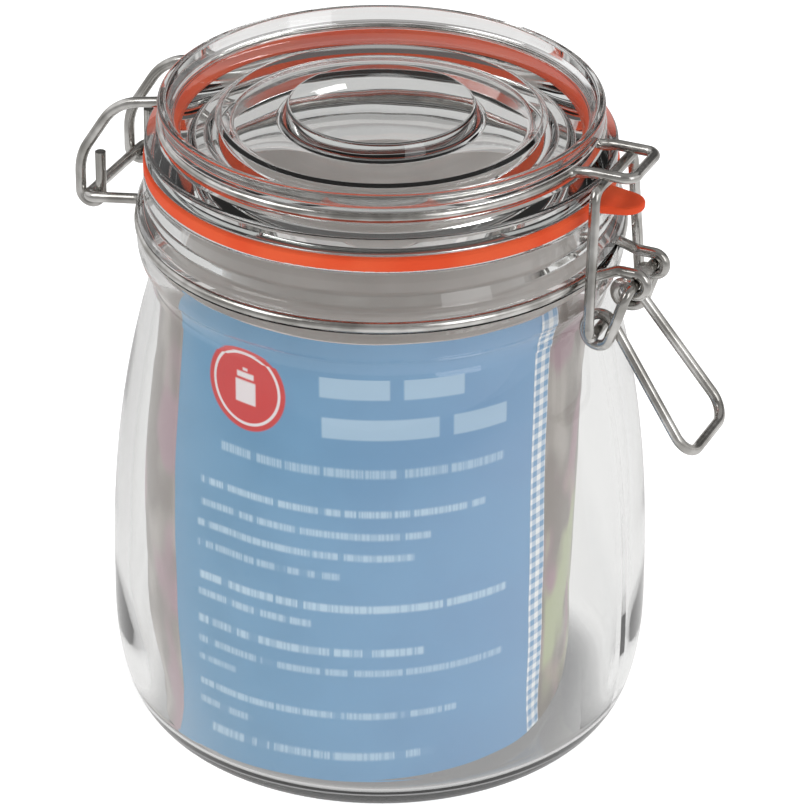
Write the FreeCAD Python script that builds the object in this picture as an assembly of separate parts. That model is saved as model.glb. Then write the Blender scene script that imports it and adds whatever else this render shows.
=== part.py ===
import FreeCAD, Part
import math
import os

V = FreeCAD.Vector

# A clip-top storage jar: a glass body and a glass lid, an orange rubber gasket between them, a wire
# hinge behind and a wire lever clasp in front, and a rolled paper leaflet inside. Millimetres. The
# origin is the centre of the foot, +Z is up the axis, +X points to the clasp, -X to the hinge.

# ---- the sizes that everything else follows
RIM_R = 47.5             # outside of the jar's rim
RIM_Z = 122.5            # flat land that the gasket lies on
BODY_R = 55.1            # widest radius of the belly
WIRE_D = 2.2

# ---- glass body
BELLY_Z = 30.0           # height of the widest place
WAIST_R = RIM_R - 1.2    # outside of the waist under the neck
WAIST_Z = RIM_Z - 24.0
SHOULDER_POWER = 2.3     # how late the shoulder turns in
FOOT_R = BODY_R - 11.1   # outer edge of the flat foot ring
FOOT_WIDTH = 5.0
PUSH_UP = 2.4            # height of the hollow under the base
WALL = 3.2
FLOOR = 5.0
HEEL_INSIDE_R = 5.0
BEAD_R = RIM_R + 1.4     # bead that carries the neck wire
NECK_INSIDE_R = WAIST_R - WALL - 0.2
MOUTH_R = RIM_R - 7.3
GROOVE_SLACK = 0.2       # groove radius over wire radius

# ---- gasket
GASKET_T = 3.0
GASKET_R = RIM_R
GASKET_INSIDE_R = MOUTH_R + 0.4
GASKET_EDGE = 0.6        # rounding of its outer edges
TAB_TIP_X = GASKET_R + 8.7
TAB_TIP_R = 4.0
TAB_HALF_W = 6.0         # half the tab's width where it leaves the ring
TAB_T = 1.8

# ---- glass lid, from the top of the gasket up
LID_FOOT_Z = RIM_Z + GASKET_T
LID_SKIRT_R = RIM_R - 0.3
LID_RIM_R = RIM_R - 3.0
LID_TOP_Z = LID_FOOT_Z + 11.9
LID_CEILING_Z = LID_FOOT_Z + 3.1
LIP_WIDTH = 1.6          # top of the raised lip
LIP_DEPTH = 3.9          # from the lip down to the tray inside it
TRAY_R = LID_RIM_R - 3.1
RIDGE_R = LID_RIM_R - 12.6
RIDGE_RISE = 0.6
VALLEY_DEPTH = 0.9       # below the tray
BOSS_R = LID_RIM_R - 26.2
BOSS_RISE = 2.5          # above the tray
PLUG_DEPTH = 3.7
PLUG_TOP_R = GASKET_INSIDE_R - 0.6
PLUG_TIP_R = GASKET_INSIDE_R - 3.2
PLUG_WIDTH = 2.6

# ---- wires
WIRE_R = WIRE_D / 2
PIN_CLEARANCE = 0.1
EYE_R = WIRE_D + PIN_CLEARANCE
BEND_R = WIRE_D
NECK_WIRE_R = BEAD_R - 0.5
NECK_WIRE_Z = RIM_Z - 11.2
LID_WIRE_R = LID_RIM_R - 0.8
LID_WIRE_Z = LID_FOOT_Z + 7.1

# ---- hinge, behind
HINGE_X = -(NECK_WIRE_R + 11.2)
HINGE_Z = NECK_WIRE_Z - 2.1
ARM_Y = 11.0
HINGE_BAR_HALF = ARM_Y + WIRE_D + 0.5
ARM_SHOULDER = (HINGE_X + 6.1, LID_WIRE_Z - 2.3)
ARM_DROP_Z = HINGE_Z + 7.8
ARM_TAIL_Z = HINGE_Z + 9.4

# ---- clasp, in front
PIVOT_X = NECK_WIRE_R + 8.4
PIVOT_Z = NECK_WIRE_Z - 1.3
EYE_Y = 5.0
PIN_INNER_Y = 1.6
LONG_LEG_Y = EYE_Y + 2 * WIRE_D + 0.2
COIL_R = WIRE_D + 0.75
COIL_PITCH = WIRE_D + 0.5
COIL_X = WAIST_R + COIL_R + WIRE_R + 0.25
COIL_Z = PIVOT_Z - 9.7
HANDLE_END_X = NECK_WIRE_R + 22.8
HANDLE_END_Z = PIVOT_Z - 33.0
HANDLE_HALF_W = 10.6
HANDLE_BEND_R = 4.6
TONGUE_RISE = 0.8
TONGUE_X = RIM_R + 8.7
TONGUE_HALF_W = 6.7
LINK_X = COIL_X - 0.8
LINK_Z = LID_WIRE_Z + TONGUE_RISE - WIRE_D - 0.5
LINK_TOP_Y = TONGUE_HALF_W + WIRE_D + 1.0
LINK_FOOT_Y = LONG_LEG_Y + 2 * WIRE_D
LINK_PIN_INNER_Y = EYE_Y + 0.6

# ---- leaflet
SHEET_T = 0.3
SHEET_H = RIM_Z - 23.5
SHEET_FOOT_Z = FLOOR + 1.2
SHEET_TOP_R = NECK_INSIDE_R - 0.7
SHEET_FOOT_R = SHEET_TOP_R + 1.4
SHEET_LEAN = (-3.5, -1.7)
SHEET_TURN = 392.0
SHEET_SPIRAL = 0.7
SHEET_START = 150.0


# ------------------------------------------------------------------ outlines
def line(a, b):
    return Part.LineSegment(V(a[0], 0, a[1]), V(b[0], 0, b[1])).toShape()


def arc(a, m, b):
    return Part.Arc(V(a[0], 0, a[1]), V(m[0], 0, m[1]), V(b[0], 0, b[1])).toShape()


def curve(points):
    spline = Part.BSplineCurve()
    spline.interpolate([V(r, 0, z) for r, z in points])
    return spline.toShape()


def revolve(edges):
    face = Part.Face(Part.Wire(edges))
    return face.revolve(V(0, 0, 0), V(0, 0, 1), 360)


def fillet_corner(a, corner, b, radius):
    """The start, middle and end of the arc that rounds a corner of an outline."""
    before, after = V(*a, 0) - V(*corner, 0), V(*b, 0) - V(*corner, 0)
    before.normalize()
    after.normalize()
    half = before.getAngle(after) / 2
    bisector = before + after
    bisector.normalize()
    run = radius / math.tan(half)
    centre = V(*corner, 0) + bisector * (radius / math.sin(half))
    start, end = V(*corner, 0) + before * run, V(*corner, 0) + after * run
    middle = centre - bisector * radius
    return [(p.x, p.y) for p in (start, middle, end)]


def rounded(points):
    """Edges of an open outline through (r, z, rounding) corners, each rounded by its own radius."""
    edges, last = [], points[0][:2]
    for i in range(1, len(points) - 1):
        r, z, radius = points[i]
        if radius:
            start, middle, end = fillet_corner(points[i - 1][:2], (r, z), points[i + 1][:2], radius)
            edges += [line(last, start), arc(start, middle, end)]
            last = end
        else:
            edges.append(line(last, (r, z)))
            last = (r, z)
    edges.append(line(last, points[-1][:2]))
    return edges


def groove(outline_r_below, outline_r_above, ring_r, ring_z):
    """Edges of a round-bottomed groove that holds a wire ring, from its lower lip to its upper."""
    h = WIRE_R + GROOVE_SLACK
    low, deep, high = (ring_r, ring_z - h), (ring_r - h, ring_z), (ring_r, ring_z + h)
    return [line((outline_r_below, ring_z - h), low), arc(low, deep, high),
            line(high, (outline_r_above, ring_z + h))]


# ------------------------------------------------------------------ glass
def shoulder_r(z):
    t = (z - BELLY_Z) / (WAIST_Z - BELLY_Z)
    return BODY_R - (BODY_R - WAIST_R) * t ** SHOULDER_POWER


def flank_points():
    """Outside of the body from the top of the heel to the waist."""
    heights = [BELLY_Z + (WAIST_Z - BELLY_Z) * k / 6 for k in range(1, 7)]
    return [(BODY_R, BELLY_Z)] + [(shoulder_r(z), z) for z in heights]


def jar_glass():
    h = WIRE_R + GROOVE_SLACK
    heel = [(FOOT_R, 0), (BODY_R - 4.7, 4), (BODY_R - 1.1, 13)]
    outside = curve(heel + flank_points())
    waist = (WAIST_R, WAIST_Z)
    bead_low = (BEAD_R - 0.6, WAIST_Z + 5.6)
    bead_top = (BEAD_R, NECK_WIRE_Z - h)
    neck = [arc(waist, (WAIST_R + 0.4, WAIST_Z + 3.4), bead_low),
            arc(bead_low, (BEAD_R, WAIST_Z + 7.8), bead_top)]
    neck += groove(BEAD_R, BEAD_R, NECK_WIRE_R, NECK_WIRE_Z)
    collar = (BEAD_R, NECK_WIRE_Z + h)
    rim = rounded([collar, (BEAD_R, NECK_WIRE_Z + 3.6, 1.0), (RIM_R, NECK_WIRE_Z + 6.6, 2.0),
                   (RIM_R, RIM_Z, 0.6), (MOUTH_R, RIM_Z, 1.0), (MOUTH_R, WAIST_Z + 12.5, 2.0),
                   (NECK_INSIDE_R, WAIST_Z + 8.5, 2.0), (NECK_INSIDE_R, WAIST_Z)])
    inner = [(r - WALL, z) for r, z in flank_points()]
    inner[-1] = (NECK_INSIDE_R, WAIST_Z)
    heel_z = FLOOR + HEEL_INSIDE_R
    wall_foot = (BODY_R - WALL - 1.9, heel_z)
    wall = curve([(NECK_INSIDE_R, WAIST_Z)] + inner[-2::-1] + [wall_foot])
    corner_r = wall_foot[0] - HEEL_INSIDE_R
    diagonal = HEEL_INSIDE_R * math.sqrt(0.5)
    corner = arc(wall_foot, (corner_r + diagonal, heel_z - diagonal), (corner_r, FLOOR))
    hollow_r = FOOT_R - FOOT_WIDTH
    base = [line((corner_r, FLOOR), (0, FLOOR)), line((0, FLOOR), (0, PUSH_UP)),
            arc((0, PUSH_UP), (hollow_r * 0.55, PUSH_UP * 0.78), (hollow_r, 0)),
            line((hollow_r, 0), (FOOT_R, 0))]
    return revolve([outside] + neck + rim + [wall, corner] + base)


def lid_glass():
    h = WIRE_R + GROOVE_SLACK
    skirt = rounded([(PLUG_TOP_R, LID_FOOT_Z), (LID_SKIRT_R, LID_FOOT_Z, 0.9),
                     (LID_SKIRT_R, LID_FOOT_Z + 4.0, 1.2), (LID_RIM_R + 0.3, LID_WIRE_Z - h - 0.5, 0.4),
                     (LID_RIM_R, LID_WIRE_Z - h)])
    slot = groove(LID_RIM_R, LID_RIM_R, LID_WIRE_R, LID_WIRE_Z)
    tray_z = LID_TOP_Z - LIP_DEPTH
    valley_z = tray_z - VALLEY_DEPTH
    boss_z = tray_z + BOSS_RISE
    tip_z = LID_FOOT_Z - PLUG_DEPTH
    over = rounded([(LID_RIM_R, LID_WIRE_Z + h), (LID_RIM_R, LID_TOP_Z, 0.75),
                    (LID_RIM_R - LIP_WIDTH, LID_TOP_Z, 0.7), (TRAY_R, tray_z, 1.2),
                    (RIDGE_R + 1.1, tray_z, 0.6), (RIDGE_R, tray_z + RIDGE_RISE, 0.5),
                    (RIDGE_R - 2.3, valley_z, 1.5), (BOSS_R + 2.1, valley_z + 0.1, 2.2),
                    (BOSS_R, boss_z, 0.8), (0, boss_z)])
    middle = line((0, boss_z), (0, LID_CEILING_Z))
    under = rounded([(0, LID_CEILING_Z), (PLUG_TIP_R - PLUG_WIDTH - 3.0, LID_CEILING_Z, 2.0),
                     (PLUG_TIP_R - PLUG_WIDTH, tip_z, 0.9), (PLUG_TIP_R, tip_z, 0.9),
                     (PLUG_TOP_R, LID_FOOT_Z)])
    return revolve(skirt + slot + over + [middle] + under)


def tab_face(z):
    """The pull tab's outline: two sides that close in on a round tip."""
    root_x, tip_x = GASKET_R - 3.0, TAB_TIP_X - TAB_TIP_R
    reach, drop = tip_x - root_x, TAB_HALF_W
    lean = math.atan2(drop, reach) - math.asin(TAB_TIP_R / math.hypot(reach, drop))
    touch_x, touch_y = tip_x + TAB_TIP_R * math.sin(lean), TAB_TIP_R * math.cos(lean)
    near, far = V(root_x, -TAB_HALF_W, z), V(root_x, TAB_HALF_W, z)
    low, high = V(touch_x, -touch_y, z), V(touch_x, touch_y, z)
    edges = [Part.LineSegment(near, low).toShape(),
             Part.Arc(low, V(TAB_TIP_X, 0, z), high).toShape(),
             Part.LineSegment(high, far).toShape(), Part.LineSegment(far, near).toShape()]
    return Part.Face(Part.Wire(edges))


def gasket():
    outline = rounded([(GASKET_INSIDE_R, RIM_Z), (GASKET_R, RIM_Z, GASKET_EDGE),
                       (GASKET_R, LID_FOOT_Z, GASKET_EDGE), (GASKET_INSIDE_R, LID_FOOT_Z)])
    ring = revolve(outline + [line((GASKET_INSIDE_R, LID_FOOT_Z), (GASKET_INSIDE_R, RIM_Z))])
    tab = tab_face(LID_FOOT_Z - TAB_T).extrude(V(0, 0, TAB_T))
    rims = [e for e in tab.Edges if e.BoundBox.ZLength < 1e-6 and e.BoundBox.XLength > 1e-3]
    tab = tab.makeFillet(GASKET_EDGE, rims)
    return ring.fuse(tab).removeSplitter().Solids[0]


# ------------------------------------------------------------------ wires
def wire_path(corners):
    """Straight runs joined by tangent arcs, through (x, y, z, bend radius) corners."""
    points = [V(*c[:3]) for c in corners]
    edges, last = [], points[0]
    for i in range(1, len(points) - 1):
        ahead, behind = points[i + 1] - points[i], points[i] - points[i - 1]
        ahead.normalize()
        behind.normalize()
        turn = behind.getAngle(ahead)
        radius = corners[i][3]
        run = radius * math.tan(turn / 2)
        start, end = points[i] - behind * run, points[i] + ahead * run
        inward = ahead - behind
        inward.normalize()
        middle = points[i] + inward * (radius / math.cos(turn / 2) - radius)
        if (start - last).Length > 1e-4:
            edges.append(Part.LineSegment(last, start).toShape())
        edges.append(Part.Arc(start, middle, end).toShape())
        last = end
    if (points[-1] - last).Length > 1e-4:
        edges.append(Part.LineSegment(last, points[-1]).toShape())
    return Part.Wire(edges)


def wire(corners):
    """A round wire along the corners, as one solid."""
    spine = wire_path(corners)
    start, ahead = V(*corners[0][:3]), V(*corners[1][:3]) - V(*corners[0][:3])
    section = Part.Wire(Part.makeCircle(WIRE_R, start, ahead))
    solid = spine.makePipeShell([section], True, False)
    return solid


def mirrored(corners):
    """The corners of half a wire, then the same on the other side of the XZ plane."""
    return corners + [(x, -y, z, r) for x, y, z, r in reversed(corners)]


def turn_corners(centre, radius, start_deg, turn_deg, steps, place):
    """Corners that bend a wire round a circle: place(u, v, k) puts one in space."""
    step = turn_deg / steps
    reach = radius / math.cos(math.radians(step / 2))
    corners = []
    for k in range(steps):
        angle = math.radians(start_deg + step * (k + 0.5))
        u, v = centre[0] + reach * math.cos(angle), centre[1] + reach * math.sin(angle)
        corners.append(place(u, v, k))
    return corners


def ring_leave(radius, angle_deg, y, forward):
    """Where the tangent of a ring at an angle reaches y, running on in the given direction."""
    a = math.radians(angle_deg)
    along = V(-math.sin(a), math.cos(a), 0) * forward
    start = V(radius * math.cos(a), radius * math.sin(a), 0)
    point = start + along * ((y - start.y) / along.y)
    return point.x, point.y


def neck_wire():
    """Eyes for the clasp pins, the ring in the neck groove, and the hinge bar behind."""
    z, r = NECK_WIRE_Z, NECK_WIRE_R
    eye_top = PIVOT_Z + EYE_R
    eye = turn_corners((PIVOT_X, PIVOT_Z), EYE_R, 90 - 255, 255, 3,
                       lambda u, v, k: (u, -EYE_Y, v, EYE_R))
    end = math.radians(90 - 255)
    eye_end = (PIVOT_X + EYE_R * math.cos(end), -EYE_Y, PIVOT_Z + EYE_R * math.sin(end), 0)
    front, back = -16.0, -158.0
    leave_x, leave_y = ring_leave(r, front, -EYE_Y - 4.0, 1)
    ring = turn_corners((0, 0), r, front, back - front, 5, lambda u, v, k: (u, v, z, r))
    rear_x, rear_y = ring_leave(r, back, -HINGE_BAR_HALF, -1)
    half = [eye_end] + eye + [(PIVOT_X - 3.6, -EYE_Y, eye_top, BEND_R),
                              (leave_x, leave_y, z, BEND_R)] + ring
    half += [(rear_x, rear_y, z, BEND_R), (HINGE_X, -HINGE_BAR_HALF, HINGE_Z, BEND_R)]
    return wire(mirrored(half))


def lid_wire():
    """The tongue in front, the ring in the lid groove, and two arms that hook the hinge bar."""
    z, r = LID_WIRE_Z, LID_WIRE_R
    hook_x = HINGE_X - EYE_R
    tail = (HINGE_X + EYE_R, -ARM_Y, ARM_TAIL_Z, 0)
    hook = [(HINGE_X + EYE_R, -ARM_Y, HINGE_Z - EYE_R, EYE_R),
            (hook_x, -ARM_Y, HINGE_Z - EYE_R, EYE_R)]
    arm = [(hook_x, -ARM_Y, ARM_DROP_Z, 12.0), (ARM_SHOULDER[0], -ARM_Y, ARM_SHOULDER[1], 12.0)]
    back, front = -160.0, -13.0
    rear_x, rear_y = ring_leave(r, back, -ARM_Y, -1)
    ring = turn_corners((0, 0), r, back, front - back, 5, lambda u, v, k: (u, v, z, r))
    fore_x, fore_y = ring_leave(r, front, -TONGUE_HALF_W, 1)
    lift = z + TONGUE_RISE
    tongue = [(fore_x, fore_y, z, BEND_R), (fore_x + 4.2, -TONGUE_HALF_W, lift, 6.0),
              (TONGUE_X, -TONGUE_HALF_W, lift, BEND_R)]
    half = [tail] + hook + arm + [(rear_x, rear_y, z, BEND_R)] + ring + tongue
    return wire(mirrored(half))


def tangent_angle(x, z, side):
    """Angle on the coil of the tangent point of a line from (x, z), on one side or the other."""
    dx, dz = x - COIL_X, z - COIL_Z
    away = math.degrees(math.acos(COIL_R / math.hypot(dx, dz)))
    return math.degrees(math.atan2(dz, dx)) + side * away


def lever():
    """Two pivot pins, each leg wound once round the link's foot, and the handle bow."""
    start = tangent_angle(PIVOT_X, PIVOT_Z, -1)
    finish = tangent_angle(HANDLE_END_X, HANDLE_END_Z, 1) - 360
    steps = 4

    def place(u, v, k):
        return u, -LONG_LEG_Y + COIL_PITCH * k / (steps - 1), v, COIL_R

    coil = turn_corners((COIL_X, COIL_Z), COIL_R, start, finish - start, steps, place)
    half = [(PIVOT_X, -PIN_INNER_Y, PIVOT_Z, 0), (PIVOT_X, -LONG_LEG_Y, PIVOT_Z, BEND_R)]
    half += coil + [(HANDLE_END_X, -HANDLE_HALF_W, HANDLE_END_Z, HANDLE_BEND_R)]
    return wire(mirrored(half))


def link():
    """The bail that reaches from the lever's coils up to the tongue."""
    half = [(COIL_X, -LINK_PIN_INNER_Y, COIL_Z, 0), (COIL_X, -LINK_FOOT_Y, COIL_Z, BEND_R),
            (LINK_X, -LINK_TOP_Y, LINK_Z, BEND_R)]
    return wire(mirrored(half))


# ------------------------------------------------------------------ leaflet
def sheet_section(radius, centre, z):
    """Outline of the rolled sheet at one height: a turn and a bit of a slow spiral."""
    steps = 32

    def edge(inset):
        points = []
        for k in range(steps + 1):
            angle = math.radians(SHEET_START + SHEET_TURN * k / steps)
            r = radius - SHEET_SPIRAL * (1 - k / steps) - inset
            points.append(V(centre[0] + r * math.cos(angle), centre[1] + r * math.sin(angle), z))
        spline = Part.BSplineCurve()
        spline.interpolate(points)
        return spline.toShape(), points[0], points[-1]

    outer, outer_start, outer_end = edge(0)
    inner, inner_start, inner_end = edge(SHEET_T)
    ends = [Part.LineSegment(outer_end, inner_end).toShape(),
            Part.LineSegment(inner_start, outer_start).toShape()]
    return Part.Wire([outer, ends[0], inner, ends[1]])


def leaflet():
    foot = sheet_section(SHEET_FOOT_R, SHEET_LEAN, SHEET_FOOT_Z)
    top = sheet_section(SHEET_TOP_R, (0, 0), SHEET_FOOT_Z + SHEET_H)
    return Part.makeLoft([foot, top], True, True)


NODES = {
    "jar_glass": jar_glass, "neck_wire": neck_wire, "gasket": gasket, "leaflet": leaflet,
    "lid_glass": lid_glass, "lid_wire": lid_wire, "lever": lever, "link": link,
}

os.makedirs("parts", exist_ok=True)
for name, make in NODES.items():
    shape = make()
    shape.exportStep("parts/" + name + ".step")
    print(name, shape.ShapeType, shape.isValid(), round(shape.Volume, 1), len(shape.Solids))
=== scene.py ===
import bmesh
import bpy
import math
from mathutils import Matrix, Vector


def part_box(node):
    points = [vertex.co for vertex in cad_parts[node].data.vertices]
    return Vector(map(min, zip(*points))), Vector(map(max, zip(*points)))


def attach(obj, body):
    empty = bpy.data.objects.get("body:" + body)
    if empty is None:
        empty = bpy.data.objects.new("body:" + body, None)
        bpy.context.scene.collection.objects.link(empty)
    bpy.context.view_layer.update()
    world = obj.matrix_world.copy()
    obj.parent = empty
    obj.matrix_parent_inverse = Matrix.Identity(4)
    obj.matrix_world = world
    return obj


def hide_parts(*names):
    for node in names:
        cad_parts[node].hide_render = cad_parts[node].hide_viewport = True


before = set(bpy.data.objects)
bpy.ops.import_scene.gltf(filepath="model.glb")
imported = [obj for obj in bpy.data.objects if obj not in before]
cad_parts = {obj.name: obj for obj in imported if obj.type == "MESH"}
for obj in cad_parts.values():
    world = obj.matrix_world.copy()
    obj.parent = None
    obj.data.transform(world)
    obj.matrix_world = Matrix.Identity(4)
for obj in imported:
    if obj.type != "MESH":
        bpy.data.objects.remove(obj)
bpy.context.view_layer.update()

# A clip-top storage jar: pressed glass body and lid, rubber gasket, steel wire clasp and hinge, and a
# printed leaflet rolled up inside. Everything is in metres, with +X towards the clasp and +Z up.
MM = 0.001

# ---- camera
VIEW_AZIMUTH = math.radians(24.0)      # how far round from -Y towards +X it stands
VIEW_DROP = math.radians(28.91)        # how far it looks down
VIEW_ROLL = math.radians(0.22)
VIEW_DISTANCE = 0.900                  # along the ground, from the jar's axis
VIEW_HEIGHT = 0.5646
LENS = 223.1
SENSOR = 36.0
SHIFT = 0.0304

# ---- glass
GLASS_IOR = 1.5
GLASS_SKIN = (0.99, 0.992, 0.99)
GLASS_THROUGH = (0.955, 0.96, 0.957)   # what one face lets through of a lamp's light
GLASS_BODY = (0.35, 0.40, 0.38)        # the grey that thick glass takes on ...
GLASS_DENSITY = 9.0                    # ... and how strongly
JAR_WAVES = 26.0                       # scale of the moulded unevenness
LID_WAVES = 38.0
WAVE_DEPTH = 0.10 * MM

# ---- lid glass: corners of its outline from the middle of its top round to the middle of its
# underside, as radius, height above the gasket and rounding, in millimetres
LID_TOP = 11.9
LID_OUTLINE = ((0, 10.5, 0), (18.7, 10.5, 0.8), (20.1, 7.2, 1.4), (29.6, 7.1, 1.5), (31.9, 8.6, 0.5),
               (33.0, 8.0, 0.6), (41.4, 8.0, 1.2), (42.9, 11.9, 0.7), (44.5, 11.9, 0.75),
               (44.5, 8.4, 0), (43.7, 8.4, 0), "groove", (43.7, 5.8, 0), (44.5, 5.8, 0),
               (44.8, 5.3, 0.4), (47.2, 4.0, 1.2), (47.2, 0, 0.9), (40.0, 0, 0), (37.4, -3.7, 0.9),
               (34.8, -3.7, 0.9), (31.8, 3.1, 2.0), (0, 3.1, 0))
GROOVE = (43.7, 7.1, 1.3)              # centre and radius of the groove for the lid's wire
LID_FACETS = 288                       # round the lid
ARC_STEP = math.radians(7.5)           # along its rounded corners

# ---- leaflet, rolled
SHEET_LENGTH = 297.0 * MM
SHEET_HEIGHT = 99.0 * MM
SHEET_TURN = math.radians(392.0)
SHEET_START = math.radians(150.0)      # where its inner end lies
SHEET_SPIRAL = 0.7 * MM                # how much further out the outer end lies
SHEET_THICK = 0.3 * MM
SHEET_FOOT_R = 43.6 * MM
SHEET_TOP_R = 42.2 * MM
SHEET_LEAN = (-3.5 * MM, -1.7 * MM)    # the foot has slid this far off the jar's axis
SHEET_RIPPLE = 0.35 * MM
SHEET_CELLS = (261, 45)                # points along it and up it
SHEET_SPRING = 4.2 * MM                # the roll has sprung out this far at half its height ...
SHEET_SPRING_TO = math.radians(204.0)  # ... on this side

# ---- edges sharper than this stay sharp
LID_SHARP = math.radians(28.0)
GASKET_SHARP = math.radians(35.0)
SHEET_SHARP = math.radians(40.0)
# ---- points closer than this are one
GASKET_WELD = 0.001 * MM
SHEET_WELD = 0.02 * MM

GASKET_GAP = 0.03 * MM                 # air between the rubber and the glass on each side of it

# ---- leaflet, flat: places on the print in millimetres from its inner end and from its foot
COVER = (64.4, 145.8)                  # the blue cover between its two neighbours
CHECKS = (145.8, 150.4)                # the band of gingham beside it
CHECK_SIZE = 1.25
# bars of the heading: left end, right end, foot, top
HEADING = ((99.2, 113.4, 85.7, 90.2), (116.2, 128.6, 85.7, 90.2),
           (99.6, 123.4, 76.8, 81.3), (126.4, 138.4, 76.8, 81.3))
SEAL = (82.6, 84.0)                    # the round spot
SEAL_R = 9.4
# the jar on it: half width, foot and top of body, lid and knob, from the spot's middle
SEAL_JAR = ((2.5, -3.6, 1.3), (2.1, 1.9, 3.1), (0.6, 3.5, 4.1))
SKEW = 0.05                            # the sheet was rolled slightly out of true ...
SKEW_MIDDLE = 49.5                     # ... about this height
HEADING_STRENGTH = 0.52
WORDS_PER_MM = 0.42                    # how often a row of print goes from word to gap
STROKES_PER_MM = 2.1                   # and within a word from stroke to stroke
# rows of print: height, left end, right end, thickness, strength
ROWS = ((69.3, 76.5, 138, 1.9, 0.55), (60.3, 71.5, 133.5, 1.5, 0.7), (55.2, 71.5, 121.5, 1.5, 0.62),
        (50.4, 70.5, 118, 1.5, 0.62), (45.8, 70.5, 103, 1.5, 0.55), (38.6, 70.5, 139, 1.7, 0.7),
        (34.6, 70.5, 97, 1.5, 0.6), (28.6, 70.5, 120, 1.7, 0.66), (23.9, 70.5, 138, 1.5, 0.55),
        (19.6, 70.5, 80, 1.4, 0.5), (13.6, 70.5, 127, 1.5, 0.6), (9.4, 70.5, 84, 1.4, 0.5),
        (4.6, 74, 122, 1.5, 0.6))

# ---- colours
BLUE_LEFT = (0.118, 0.292, 0.470)
BLUE_RIGHT = (0.190, 0.345, 0.560)
BLUE_MOTTLE = (0.21, 0.42, 0.64)
PRINT_PALE = (0.60, 0.75, 0.86)
SEAL_RED = (0.66, 0.042, 0.040)
WHITE = (0.86, 0.87, 0.88)
CHECK_BLUE = (0.20, 0.36, 0.57)
PAPER_BACK = (0.62, 0.595, 0.575)
PAPER_PALE = (0.70, 0.68, 0.66)
PANEL_BROWN = (0.25, 0.215, 0.195)
PANEL_ROSE = (0.42, 0.26, 0.31)
PANEL_GREEN = (0.44, 0.47, 0.30)
PANEL_CREAM = (0.44, 0.40, 0.37)
PANEL_FAR = (0.46, 0.435, 0.41)
RUBBER = (0.69, 0.078, 0.028)
RUBBER_WORN = (0.72, 0.105, 0.040)
STEEL_DARK = (0.36, 0.35, 0.33)
STEEL_LIGHT = (0.66, 0.65, 0.63)

# ---- fine grain of each finish: how many grains to the metre, roughness, depth
WIRE_GRAIN = {"Scale": 900.0, "Smoothest": 0.14, "Roughest": 0.27, "Depth": 0.006 * MM}
RUBBER_GRAIN = {"Scale": 1500.0, "Smoothest": 0.46, "Roughest": 0.60, "Depth": 0.012 * MM}
PRINT_GRAIN = {"Scale": 1100.0, "Smoothest": 0.34, "Roughest": 0.44, "Depth": 0.006 * MM}
BACK_GRAIN = {"Scale": 1100.0, "Smoothest": 0.5, "Roughest": 0.62, "Depth": 0.006 * MM}
PAPER_IOR = 1.45
RUBBER_IOR = 1.48
RUBBER_SHINE = 0.05

# ---- surroundings, as glass and steel show them
SKY_LOW = 0.84                         # brightness at the horizon ...
SKY_HIGH = 0.46                        # ... and from 30 degrees up
SKY_FRONT = 0.62                       # share of it that is left on the -Y side
SKY_SIDES = (0.88, 1.04)               # and on the -X and +X sides
SKY_BEHIND = 0.75                      # how much a band on the +Y side is darkened
SKY_WARM = (1.0, 0.98, 0.965)
WINDOWS = (0.95, 0.95, 0.95)
# painted light on the floor as glass and steel show it: bright near the jar, falling off to painted
# shade further away
GROUND_LIT_NEAR = (0.90, 0.895, 0.89)
GROUND_SHADED_FAR = (0.58, 0.575, 0.57)
# painted shade on the floor in front of the jar and at its left, as glass and steel show it
GROUND_FRONT_SHADE = (0.20, 0.20, 0.20)
GROUND_LEFT_SHADE = (0.30, 0.295, 0.295)
# painted shadow on the floor under the jar, as glass and steel show it
GROUND_UNDER_SHADOW = (0.27, 0.27, 0.275)     # under the jar
# ---- surroundings, as matt things are lit by them
SOFT_SKY = (0.98, 0.99, 1.0)
SOFT_LEVEL = 0.50
GROUND_WHITE = (0.9, 0.9, 0.9)
GROUND_GLOW = 0.5
GROUND_HALF = 3.0                      # half its side
# ---- lamps: name, place, width and height, power, and whether glass and steel show it
LAMPS = (("key", (-0.9, -0.9, 1.3), (0.9, 0.9), 9.0, True),
         ("fill", (1.2, -0.6, 0.8), (0.6, 1.0), 4.0, True),
         ("back", (0.5, 0.8, 1.7), (0.8, 0.5), 10.0, False))
LAMP_AIM = (0, 0, 0.07)


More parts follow.
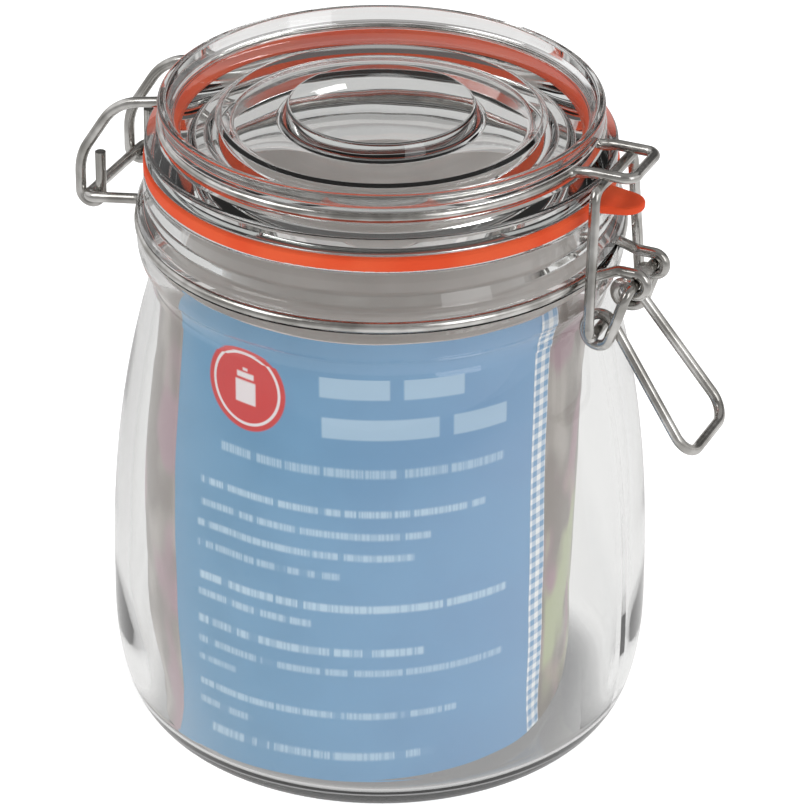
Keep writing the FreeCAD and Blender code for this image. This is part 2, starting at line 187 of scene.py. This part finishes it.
# ------------------------------------------------------------------ node helpers
class Tree:
    """A short way to place and join nodes."""

    def __init__(self, tree):
        self.tree = tree

    def add(self, kind, **inputs):
        node = self.tree.nodes.new(kind)
        for key, value in inputs.items():
            if key.startswith("_"):
                setattr(node, key[1:], value)
        for key, value in inputs.items():
            if not key.startswith("_"):
                self.feed(node, key, value)
        return node

    def feed(self, node, key, value):
        socket = node.inputs[int(key[1:])] if key[0] == "i" and key[1:].isdigit() else node.inputs[key]
        if isinstance(value, bpy.types.NodeSocket):
            self.tree.links.new(value, socket)
        elif isinstance(value, tuple) and socket.type == "RGBA" and len(value) == 3:
            socket.default_value = (*value, 1.0)
        else:
            socket.default_value = value

    def math(self, operation, a, b=0.0, c=0.0):
        return self.add("ShaderNodeMath", _operation=operation, i0=a, i1=b, i2=c).outputs[0]

    def mix(self, factor, a, b):
        return self.add("ShaderNodeMix", _data_type="RGBA", i0=factor, i6=a, i7=b).outputs[2]

    def noise(self, vector, scale, detail=3.0, roughness=0.5):
        return self.add("ShaderNodeTexNoise", Vector=vector, Scale=scale, Detail=detail,
                        Roughness=roughness).outputs[0]

    def ramp(self, value, low, high, to_low=0.0, to_high=1.0):
        return self.add("ShaderNodeMapRange", _interpolation_type="SMOOTHSTEP", i0=value, i1=low,
                        i2=high, i3=to_low, i4=to_high).outputs[0]

    def band(self, value, low, high, soft):
        """1 between low and high, with soft edges."""
        rise = self.ramp(value, low - soft, low + soft)
        fall = self.ramp(value, high - soft, high + soft, 1.0, 0.0)
        return self.math("MULTIPLY", rise, fall)

    def split(self, vector):
        return self.add("ShaderNodeSeparateXYZ", Vector=vector).outputs

    def join(self, x, y=0.0, z=0.0):
        return self.add("ShaderNodeCombineXYZ", X=x, Y=y, Z=z).outputs[0]

    def place(self):
        return self.add("ShaderNodeTexCoord").outputs["Object"]


def material(name):
    made = bpy.data.materials.new(name)
    made.use_nodes = True
    made.node_tree.nodes.clear()
    tree = Tree(made.node_tree)
    return made, tree, tree.add("ShaderNodeOutputMaterial")


def group(name, kind, inputs, outputs):
    """An empty node group with named sockets, and its input and output nodes."""
    made = bpy.data.node_groups.new(name, kind)
    for direction, sockets in (("INPUT", inputs), ("OUTPUT", outputs)):
        for label, socket in sockets.items():
            made.interface.new_socket(label, in_out=direction, socket_type="NodeSocket" + socket)
    tree = Tree(made)
    return made, tree, tree.add("NodeGroupInput").outputs, tree.add("NodeGroupOutput")


def pressed_waves():
    """The slow unevenness that a mould leaves in glass."""
    made, t, given, out = group("pressed waves", "ShaderNodeTree",
                                {"Vector": "Vector", "Scale": "Float", "Depth": "Float"},
                                {"Normal": "Vector"})
    slow = t.noise(given["Vector"], given["Scale"], 1.5)
    bump = t.add("ShaderNodeBump", Strength=1.0, Height=slow, Distance=given["Depth"])
    t.feed(out, "Normal", bump.outputs[0])
    return made


def fine_grain():
    """A fine grain that varies roughness and dents the surface."""
    made, t, given, out = group("fine grain", "ShaderNodeTree",
                                {"Vector": "Vector", "Scale": "Float", "Smoothest": "Float",
                                 "Roughest": "Float", "Depth": "Float"},
                                {"Roughness": "Float", "Normal": "Vector"})
    grain = t.noise(given["Vector"], given["Scale"], 3.0)
    rough = t.ramp(grain, 0.3, 0.7, given["Smoothest"], given["Roughest"])
    bump = t.add("ShaderNodeBump", Strength=1.0, Height=grain, Distance=given["Depth"])
    t.feed(out, "Roughness", rough)
    t.feed(out, "Normal", bump.outputs[0])
    return made


WAVES = pressed_waves()
GRAIN = fine_grain()


def put(t, made, **values):
    """Place a node group in a material, with its own values."""
    node = t.add("ShaderNodeGroup", _node_tree=made)
    for key, value in values.items():
        t.feed(node, key, value)
    return node.outputs


def in_scene(name, data):
    """A new object in the scene, at the origin."""
    made = bpy.data.objects.new(name, data)
    bpy.context.scene.collection.objects.link(made)
    return made


def dress(node, made):
    """Give one finish to every slot of a CAD piece."""
    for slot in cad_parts[node].material_slots:
        slot.material = made


# ------------------------------------------------------------------ finishes
def glass_material(name, wave_scale):
    """Clear pressed glass, faintly grey where it is thick. Lamp light passes through to the inside."""
    made, t, out = material(name)
    skin = t.add("ShaderNodeBsdfPrincipled", Roughness=0.0, IOR=GLASS_IOR)
    t.feed(skin, "Base Color", GLASS_SKIN)
    t.feed(skin, "Transmission Weight", 1.0)
    waves = put(t, WAVES, Vector=t.place(), Scale=wave_scale, Depth=WAVE_DEPTH)
    t.feed(skin, "Normal", waves["Normal"])
    clear = t.add("ShaderNodeBsdfTransparent")
    t.feed(clear, "Color", GLASS_THROUGH)
    ray = t.add("ShaderNodeLightPath").outputs
    through = t.math("MAXIMUM", ray["Is Shadow Ray"], ray["Is Diffuse Ray"])
    both = t.add("ShaderNodeMixShader", i0=through, i1=skin.outputs[0], i2=clear.outputs[0])
    body = t.add("ShaderNodeVolumeAbsorption", Density=GLASS_DENSITY)
    t.feed(body, "Color", GLASS_BODY)
    t.feed(out, "Surface", both.outputs[0])
    t.feed(out, "Volume", body.outputs[0])
    return made


def wire_material():
    """Bright drawn steel wire, with duller patches and fine draw marks."""
    made, t, out = material("drawn steel wire")
    place = t.place()
    grain = put(t, GRAIN, Vector=place, **WIRE_GRAIN)
    cloud = t.ramp(t.noise(place, 140.0, 2.0), 0.32, 0.68)
    skin = t.add("ShaderNodeBsdfPrincipled", Metallic=1.0, Normal=grain["Normal"],
                 Roughness=grain["Roughness"])
    t.feed(skin, "Base Color", t.mix(cloud, STEEL_DARK, STEEL_LIGHT))
    t.feed(out, "Surface", skin.outputs[0])
    return made


def rubber_material():
    """Dull orange-red rubber, a little worn in patches."""
    made, t, out = material("gasket rubber")
    place = t.place()
    grain = put(t, GRAIN, Vector=place, **RUBBER_GRAIN)
    cloud = t.ramp(t.noise(place, 70.0, 2.0), 0.35, 0.65)
    skin = t.add("ShaderNodeBsdfPrincipled", IOR=RUBBER_IOR, Normal=grain["Normal"],
                 Roughness=grain["Roughness"])
    t.feed(skin, "Specular IOR Level", RUBBER_SHINE)
    t.feed(skin, "Base Color", t.mix(cloud, RUBBER, RUBBER_WORN))
    t.feed(out, "Surface", skin.outputs[0])
    return made


def row_of_print(t, across, up, row):
    """A line of words without letters: short and long strokes with gaps between them. Its height
    also picks its own part of the noise, so that no two rows are alike."""
    height, left, right, thick, strength = row
    line = t.math("MULTIPLY", t.band(up, height - thick / 2, height + thick / 2, 0.4),
                  t.band(across, left, right, 0.4))
    stretch = t.join(t.math("MULTIPLY", across, WORDS_PER_MM), height * 7.3)
    words = t.ramp(t.noise(stretch, 1.0, 1.0), 0.36, 0.42, 0.12, 1.0)
    stretch = t.join(t.math("MULTIPLY", across, STROKES_PER_MM), height * 3.1)
    strokes = t.ramp(t.noise(stretch, 1.0, 0.0), 0.35, 0.6, 0.55, 1.0)
    ink = t.math("MULTIPLY", t.math("MULTIPLY", words, strokes), strength)
    return t.math("MULTIPLY", line, ink)


def seal(t, across, up):
    """A round spot, and the white marks on it: a ring, and a plain jar in the middle."""
    x = t.math("SUBTRACT", across, SEAL[0])
    y = t.math("SUBTRACT", up, SEAL[1])
    away = t.math("SQRT", t.math("ADD", t.math("MULTIPLY", x, x), t.math("MULTIPLY", y, y)))
    spot = t.ramp(away, SEAL_R - 0.25, SEAL_R + 0.25, 1.0, 0.0)
    white = t.band(away, SEAL_R - 1.7, SEAL_R - 1.1, 0.15)
    for half_w, low, high in SEAL_JAR:
        mark = t.math("MULTIPLY", t.band(x, -half_w, half_w, 0.25), t.band(y, low, high, 0.25))
        white = t.math("MAXIMUM", white, mark)
    return spot, white


def gingham(t, across, up):
    """Two sets of stripes that cross: white, a middle tone, and the full tone where both meet."""
    tones = []
    for value, start in ((across, CHECKS[0]), (up, 0.0)):
        turn = t.math("DIVIDE", t.math("SUBTRACT", value, start), 2 * CHECK_SIZE)
        turn = t.math("FRACT", t.math("ADD", turn, 10.0))      # kept above nought left of the band
        tones.append(t.band(turn, 0.25, 0.75, 0.06))
    tone = t.math("MULTIPLY", t.math("ADD", tones[0], tones[1]), 0.5)
    return t.mix(tone, WHITE, CHECK_BLUE)


def neighbour_panel(t, across, up):
    """Soft blots of colour on the panels beside the cover."""
    tall = t.math("MULTIPLY", up, 0.55)
    colour = t.mix(t.ramp(t.noise(t.join(across, tall), 0.10, 1.0), 0.45, 0.70), PANEL_BROWN,
                   PANEL_CREAM)
    rose = t.ramp(t.noise(t.join(t.math("ADD", across, 31.0), tall), 0.09, 1.0), 0.5, 0.66, 0.0, 0.75)
    colour = t.mix(rose, colour, PANEL_ROSE)
    right = t.math("MULTIPLY", t.ramp(across, CHECKS[1], CHECKS[1] + 2.0), t.band(up, 6.0, 50.0, 9.0))
    green = t.math("MULTIPLY", right, t.ramp(t.noise(t.join(across, tall, 9.0), 0.10, 1.0), 0.4, 0.6))
    colour = t.mix(green, colour, PANEL_GREEN)
    far = t.math("MAXIMUM", t.ramp(across, CHECKS[1] + 12.0, CHECKS[1] + 34.0),
                 t.ramp(across, COVER[0] - 36.0, COVER[0] - 18.0, 1.0, 0.0))
    return t.mix(t.math("MULTIPLY", far, 0.8), colour, PANEL_FAR)


def print_material():
    """The printed side, laid out in millimetres of the flat sheet."""
    made, t, out = material("leaflet print")
    where = t.add("ShaderNodeUVMap", _uv_map="print").outputs[0]
    flat_across, up, rest = t.split(where)
    across = t.math("MULTIPLY_ADD", t.math("SUBTRACT", up, SKEW_MIDDLE), SKEW, flat_across)
    mottle = t.ramp(t.noise(where, 0.05, 3.0), 0.35, 0.65)
    blue = t.mix(t.ramp(across, COVER[0], COVER[1]), BLUE_LEFT, BLUE_RIGHT)
    blue = t.mix(t.math("MULTIPLY", mottle, 0.22), blue, BLUE_MOTTLE)
    marks = row_of_print(t, across, up, ROWS[0])
    for row in ROWS[1:]:
        marks = t.math("ADD", marks, row_of_print(t, across, up, row))
    for left, right, low, high in HEADING:
        bar = t.math("MULTIPLY", t.band(across, left, right, 0.3), t.band(up, low, high, 0.3))
        marks = t.math("MAXIMUM", marks, t.math("MULTIPLY", bar, HEADING_STRENGTH))
    cover = t.mix(marks, blue, PRINT_PALE)
    spot, white = seal(t, across, up)
    cover = t.mix(spot, cover, SEAL_RED)
    cover = t.mix(t.math("MULTIPLY", white, 0.85), cover, WHITE)
    colour = neighbour_panel(t, across, up)
    colour = t.mix(t.band(across, CHECKS[0], CHECKS[1], 0.1), colour, gingham(t, across, up))
    colour = t.mix(t.band(across, COVER[0], COVER[1], 0.1), colour, cover)
    folds = t.math("MAXIMUM", t.band(across, COVER[0] - 0.4, COVER[0] + 0.4, 0.4),
                   t.band(across, CHECKS[1] - 0.4, CHECKS[1] + 0.4, 0.4))
    grain = put(t, GRAIN, Vector=t.place(), **PRINT_GRAIN)
    crease = t.add("ShaderNodeBump", Strength=0.5, Height=folds, Distance=0.15 * MM,
                   Normal=grain["Normal"])
    skin = t.add("ShaderNodeBsdfPrincipled", IOR=PAPER_IOR, Roughness=grain["Roughness"],
                 Normal=crease.outputs[0])
    t.feed(skin, "Base Color", colour)
    t.feed(out, "Surface", skin.outputs[0])
    return made


def back_material():
    """The unprinted side of the leaflet."""
    made, t, out = material("leaflet back")
    place = t.place()
    grain = put(t, GRAIN, Vector=place, **BACK_GRAIN)
    cloud = t.ramp(t.noise(place, 45.0, 2.0), 0.35, 0.65)
    skin = t.add("ShaderNodeBsdfPrincipled", IOR=PAPER_IOR, Roughness=grain["Roughness"],
                 Normal=grain["Normal"])
    t.feed(skin, "Base Color", t.mix(cloud, PAPER_BACK, PAPER_PALE))
    t.feed(out, "Surface", skin.outputs[0])
    return made


# ------------------------------------------------------------------ lid glass
def arc_points(centre, start, turn):
    """Points along an arc, its ends included."""
    steps = max(3, math.ceil(abs(turn) / ARC_STEP))
    reach = math.dist(centre, start)
    first = math.atan2(start[1] - centre[1], start[0] - centre[0])
    return [(centre[0] + reach * math.cos(first + turn * k / steps),
             centre[1] + reach * math.sin(first + turn * k / steps)) for k in range(steps + 1)]


def rounded_corner(before, corner, after, radius):
    """Points of the arc that rounds one corner of an outline."""
    a = Vector(before) - Vector(corner)
    b = Vector(after) - Vector(corner)
    a.normalize()
    b.normalize()
    half = a.angle(b) / 2
    start = Vector(corner) + a * (radius / math.tan(half))
    centre = Vector(corner) + (a + b).normalized() * (radius / math.sin(half))
    turn = math.pi - 2 * half
    if a.x * b.y - a.y * b.x > 0:
        turn = -turn
    return arc_points(tuple(centre), tuple(start), turn)


def outline_points(corners):
    """The outline with its rounded corners, and its groove, as a row of points."""
    points = []
    for k, corner in enumerate(corners):
        if corner == "groove":
            mid_r, mid_z, radius = GROOVE
            points += arc_points((mid_r, mid_z), (mid_r, mid_z + radius), math.pi)[1:-1]
        elif corner[2]:
            points += rounded_corner(corners[k - 1][:2], corner[:2], corners[k + 1][:2], corner[2])
        else:
            points.append(corner[:2])
    return points


def turned(name, points, foot_z, facets):
    """A closed shape turned about the jar's axis. Its outline starts and ends on the axis."""
    shape = bmesh.new()
    rings = []
    for radius, height in points[1:-1]:
        rings.append([shape.verts.new((radius * MM * math.cos(math.tau * k / facets),
                                       radius * MM * math.sin(math.tau * k / facets),
                                       foot_z + height * MM)) for k in range(facets)])
    top = shape.verts.new((0, 0, foot_z + points[0][1] * MM))
    bottom = shape.verts.new((0, 0, foot_z + points[-1][1] * MM))
    for k in range(facets):
        nxt = (k + 1) % facets
        shape.faces.new((top, rings[0][k], rings[0][nxt]))
        shape.faces.new((bottom, rings[-1][nxt], rings[-1][k]))
        for upper, lower in zip(rings, rings[1:]):
            shape.faces.new((upper[k], lower[k], lower[nxt], upper[nxt]))
    bmesh.ops.recalc_face_normals(shape, faces=shape.faces)
    mesh = bpy.data.meshes.new(name)
    shape.to_mesh(mesh)
    shape.free()
    mesh.shade_smooth()
    mesh.set_sharp_from_angle(angle=LID_SHARP)
    return in_scene(name, mesh)


def lid_glass():
    """The lid as one smooth turned piece, so that no facets show in the glass."""
    top_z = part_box("lid_glass")[1][2]
    made = turned("lid_glass_pressed", outline_points(LID_OUTLINE), top_z - LID_TOP * MM, LID_FACETS)
    made.data.materials.append(glass_material("lid glass", LID_WAVES))
    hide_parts("lid_glass")
    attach(made, "lid")


# ------------------------------------------------------------------ gasket
def gasket_ring():
    """The rubber ring, a hair thinner than its place, so that the glass keeps its own faces."""
    low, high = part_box("gasket")
    middle = (low[2] + high[2]) / 2
    squeeze = 1 - 2 * GASKET_GAP / (high[2] - low[2])
    shape = bmesh.new()
    shape.from_mesh(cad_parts["gasket"].data)
    bmesh.ops.remove_doubles(shape, verts=shape.verts, dist=GASKET_WELD)
    for vertex in shape.verts:
        vertex.co.z = middle + (vertex.co.z - middle) * squeeze
    mesh = bpy.data.meshes.new("gasket_ring")
    shape.to_mesh(mesh)
    shape.free()
    made = in_scene("gasket_ring", mesh)
    mesh.materials.clear()
    mesh.materials.append(rubber_material())
    mesh.shade_smooth()
    mesh.set_sharp_from_angle(angle=GASKET_SHARP)
    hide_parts("gasket")
    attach(made, "jar")


# ------------------------------------------------------------------ leaflet
def rolled_sheet():
    """A flat grid rolled into a slow spiral, given a thickness, with its flat size kept as a map."""
    made, t, given, out = group("rolled sheet", "GeometryNodeTree",
                                {"Length": "Float", "Height": "Float", "Turn": "Float",
                                 "Start": "Float", "Spiral": "Float", "Foot radius": "Float",
                                 "Top radius": "Float", "Thickness": "Float", "Ripple": "Float",
                                 "Spring": "Float", "Spring side": "Float", "Foot": "Vector",
                                 "Printed side": "Material", "Other side": "Material"},
                                {"Geometry": "Geometry"})
    grid = t.add("GeometryNodeMeshGrid", i2=SHEET_CELLS[0], i3=SHEET_CELLS[1])
    t.feed(grid, "i0", given["Length"])
    t.feed(grid, "i1", given["Height"])
    flat_x, flat_y, rest = t.split(t.add("GeometryNodeInputPosition").outputs[0])
    along = t.math("ADD", t.math("DIVIDE", flat_x, given["Length"]), 0.5)
    rise = t.math("ADD", t.math("DIVIDE", flat_y, given["Height"]), 0.5)
    flat = t.join(t.math("MULTIPLY", t.math("MULTIPLY", along, given["Length"]), 1000.0),
                  t.math("MULTIPLY", t.math("MULTIPLY", rise, given["Height"]), 1000.0))
    mapped = t.add("GeometryNodeStoreNamedAttribute", _data_type="FLOAT2", _domain="CORNER",
                   Geometry=grid.outputs[0], Name="print", Value=flat)
    angle = t.math("MULTIPLY_ADD", given["Turn"], along, given["Start"])
    cosine, sine = t.math("COSINE", angle), t.math("SINE", angle)
    radius = t.math("MULTIPLY_ADD", t.math("SUBTRACT", given["Top radius"], given["Foot radius"]), rise,
                    given["Foot radius"])
    inward = t.math("MULTIPLY", given["Spiral"], t.math("SUBTRACT", 1.0, along))
    ripple = t.math("MULTIPLY", given["Ripple"],
                    t.ramp(t.noise(t.join(cosine, sine, t.math("MULTIPLY", rise, 1.6)), 1.9, 1.0),
                           0.3, 0.7))
    radius = t.math("SUBTRACT", radius, t.math("ADD", t.math("ADD", inward, ripple),
                                               given["Thickness"]))
    facing = t.math("COSINE", t.math("SUBTRACT", angle, given["Spring side"]))
    sprung = t.math("MULTIPLY", t.ramp(facing, 0.62, 1.0),
                    t.math("SINE", t.math("MULTIPLY", rise, math.pi)))
    radius = t.math("MULTIPLY_ADD", sprung, given["Spring"], radius)
    foot_x, foot_y, foot_z = t.split(given["Foot"])
    lean = t.math("SUBTRACT", 1.0, rise)
    place = t.join(t.math("MULTIPLY_ADD", radius, cosine, t.math("MULTIPLY", foot_x, lean)),
                   t.math("MULTIPLY_ADD", radius, sine, t.math("MULTIPLY", foot_y, lean)),
                   t.math("MULTIPLY_ADD", rise, given["Height"], foot_z))
    rolled = t.add("GeometryNodeSetPosition", Geometry=mapped.outputs[0], Position=place).outputs[0]
    inner = t.add("GeometryNodeFlipFaces", Mesh=rolled).outputs[0]
    outer = t.add("GeometryNodeExtrudeMesh", _mode="FACES", Mesh=rolled, Individual=False)
    t.feed(outer, "Offset Scale", given["Thickness"])
    marked = t.add("GeometryNodeStoreNamedAttribute", _data_type="BOOLEAN", _domain="FACE",
                   Geometry=outer.outputs["Mesh"], Name="printed", Value=outer.outputs["Top"])
    whole = t.add("GeometryNodeJoinGeometry")
    t.feed(whole, "Geometry", inner)
    t.feed(whole, "Geometry", marked.outputs[0])
    closed = t.add("GeometryNodeMergeByDistance", Geometry=whole.outputs[0], Distance=SHEET_WELD)
    real = t.add("GeometryNodeRealizeInstances", Geometry=closed.outputs[0])
    plain = t.add("GeometryNodeSetMaterial", Geometry=real.outputs[0], Material=given["Other side"])
    printed = t.add("GeometryNodeInputNamedAttribute", _data_type="BOOLEAN", Name="printed")
    faced = t.add("GeometryNodeSetMaterial", Geometry=plain.outputs[0],
                  Selection=printed.outputs[0], Material=given["Printed side"])
    t.feed(out, "Geometry", faced.outputs[0])
    return made


def grow(name, tree, values):
    """A plain mesh object from a geometry tree and its named values."""
    made = in_scene(name, bpy.data.meshes.new(name))
    modifier = made.modifiers.new("grow", "NODES")
    modifier.node_group = tree
    for item in tree.interface.items_tree:
        if item.item_type == "SOCKET" and item.in_out == "INPUT":
            modifier[item.identifier] = values[item.name]
    known = bpy.context.evaluated_depsgraph_get()
    mesh = bpy.data.meshes.new_from_object(made.evaluated_get(known), depsgraph=known)
    made.modifiers.clear()
    made.data = mesh
    mesh.name = name
    mesh.shade_smooth()
    mesh.set_sharp_from_angle(angle=SHEET_SHARP)
    return made


def leaflet():
    """The leaflet, standing on the place where the plain one stands."""
    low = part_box("leaflet")[0]
    made = grow("leaflet_sheet", rolled_sheet(), {
        "Length": SHEET_LENGTH, "Height": SHEET_HEIGHT, "Turn": SHEET_TURN, "Start": SHEET_START,
        "Spiral": SHEET_SPIRAL, "Foot radius": SHEET_FOOT_R, "Top radius": SHEET_TOP_R,
        "Thickness": SHEET_THICK, "Ripple": SHEET_RIPPLE,
        "Spring": SHEET_SPRING, "Spring side": SHEET_SPRING_TO, "Foot": (*SHEET_LEAN, low[2]),
        "Printed side": print_material(), "Other side": back_material()})
    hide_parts("leaflet")
    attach(made, "jar")


# ------------------------------------------------------------------ surroundings
def studio():
    """A bright tent: soft light for matt things, and for glass and steel pale walls that fall off to
    a grey ceiling, with a window on each side."""
    made = bpy.data.worlds.new("studio")
    bpy.context.scene.world = made
    made.use_nodes = True
    made.node_tree.nodes.clear()
    t = Tree(made.node_tree)
    out = t.add("ShaderNodeOutputWorld")
    x, y, z = t.split(t.add("ShaderNodeTexCoord").outputs["Generated"])
    level = t.ramp(z, 0.0, 0.50, SKY_LOW, SKY_HIGH)
    level = t.math("MULTIPLY", level, t.ramp(y, -0.7, 0.1, SKY_FRONT, 1.0))
    level = t.math("MULTIPLY", level, t.ramp(x, -0.5, 0.5, *SKY_SIDES))
    behind = t.math("MULTIPLY", t.band(z, 0.15, 0.60, 0.06), t.ramp(y, 0.30, 0.60))
    level = t.math("MULTIPLY", level, t.math("SUBTRACT", 1.0, t.math("MULTIPLY", behind, SKY_BEHIND)))
    left = t.math("MULTIPLY", t.band(z, 0.16, 0.72, 0.06), t.ramp(x, -0.80, -0.70, 1.0, 0.0))
    right = t.math("MULTIPLY", t.band(z, 0.16, 0.66, 0.06), t.ramp(x, 0.72, 0.82))
    windows = t.math("MAXIMUM", left, right)
    mirror = t.mix(windows, t.mix(level, (0, 0, 0), SKY_WARM), WINDOWS)
    ray = t.add("ShaderNodeLightPath").outputs
    seen = t.math("MAXIMUM", ray["Is Glossy Ray"], ray["Is Transmission Ray"])
    soft = t.add("ShaderNodeBackground", Strength=SOFT_LEVEL)
    t.feed(soft, "Color", SOFT_SKY)
    shown = t.add("ShaderNodeBackground", Color=mirror, Strength=1.0)
    white = t.add("ShaderNodeBackground", Strength=1.0)
    t.feed(white, "Color", (1.0, 1.0, 1.0))
    both = t.add("ShaderNodeMixShader", i0=seen, i1=soft.outputs[0], i2=shown.outputs[0])
    all_three = t.add("ShaderNodeMixShader", i0=ray["Is Camera Ray"], i1=both.outputs[0],
                      i2=white.outputs[0])
    t.feed(out, "Surface", all_three.outputs[0])


def lamp(name, place, size, power, shown):
    data = bpy.data.lights.new(name, "AREA")
    data.shape = "RECTANGLE"
    data.size, data.size_y = size
    data.energy = power
    made = in_scene(name, data)
    made.location = place
    made.rotation_euler = (Vector(LAMP_AIM) - Vector(place)).to_track_quat("-Z", "Y").to_euler()
    made.visible_glossy = shown


def floor():
    """A plain pale ground. Glass and steel show it with painted light and shade: bright near the jar
    and darker further off, painted shade in front and at the left, and a painted shadow under the jar.
    """
    half = GROUND_HALF
    mesh = bpy.data.meshes.new("floor")
    mesh.from_pydata([(-half, -half, 0), (half, -half, 0), (half, half, 0), (-half, half, 0)], [],
                     [(0, 1, 2, 3)])
    made = in_scene("floor", mesh)
    paint, t, out = material("pale floor")
    ray = t.add("ShaderNodeLightPath").outputs
    x, y, z = t.split(t.place())
    away = t.math("SQRT", t.math("ADD", t.math("MULTIPLY", x, x), t.math("MULTIPLY", y, y)))
    # painted light: the floor is bright near the jar and darker further off
    painted_ground = t.mix(t.ramp(away, 0.12, 0.95), GROUND_LIT_NEAR, GROUND_SHADED_FAR)
    # painted shade in front of the jar and at its left
    painted_ground = t.mix(t.ramp(y, -0.55, -0.09, 0.55, 0.0), painted_ground, GROUND_FRONT_SHADE)
    painted_ground = t.mix(t.ramp(x, -0.20, 0.0, 0.22, 0.0), painted_ground, GROUND_LEFT_SHADE)
    # painted shadow under the jar
    painted_ground = t.mix(t.ramp(away, 0.040, 0.056), GROUND_UNDER_SHADOW, painted_ground)
    matt = t.add("ShaderNodeBsdfDiffuse")
    t.feed(matt, "Color", GROUND_WHITE)
    glow = t.add("ShaderNodeEmission", Strength=GROUND_GLOW)
    plain = t.add("ShaderNodeAddShader", i0=matt.outputs[0], i1=glow.outputs[0])
    mirrored = t.add("ShaderNodeEmission", Color=painted_ground, Strength=1.0)
    seen = t.math("MAXIMUM", ray["Is Glossy Ray"], ray["Is Transmission Ray"])
    both = t.add("ShaderNodeMixShader", i0=seen, i1=plain.outputs[0], i2=mirrored.outputs[0])
    t.feed(out, "Surface", both.outputs[0])
    mesh.materials.append(paint)


def camera():
    data = bpy.data.cameras.new("camera")
    data.lens = LENS
    data.sensor_width = SENSOR
    data.shift_x = SHIFT
    made = in_scene("camera", data)
    made.location = (VIEW_DISTANCE * math.sin(VIEW_AZIMUTH), -VIEW_DISTANCE * math.cos(VIEW_AZIMUTH),
                     VIEW_HEIGHT)
    turn = Matrix.Rotation(VIEW_AZIMUTH, 4, "Z") @ Matrix.Rotation(math.pi / 2 - VIEW_DROP, 4, "X")
    made.rotation_euler = (turn @ Matrix.Rotation(VIEW_ROLL, 4, "Z")).to_euler()
    bpy.context.scene.camera = made


# ------------------------------------------------------------------ the scene
dress("jar_glass", glass_material("pressed glass", JAR_WAVES))
wire = wire_material()
for node in ("neck_wire", "lid_wire", "lever", "link"):
    dress(node, wire)
lid_glass()
gasket_ring()
leaflet()

studio()
floor()
camera()
for settings in LAMPS:
    lamp(*settings)

bpy.context.scene.view_settings.view_transform = "Standard"
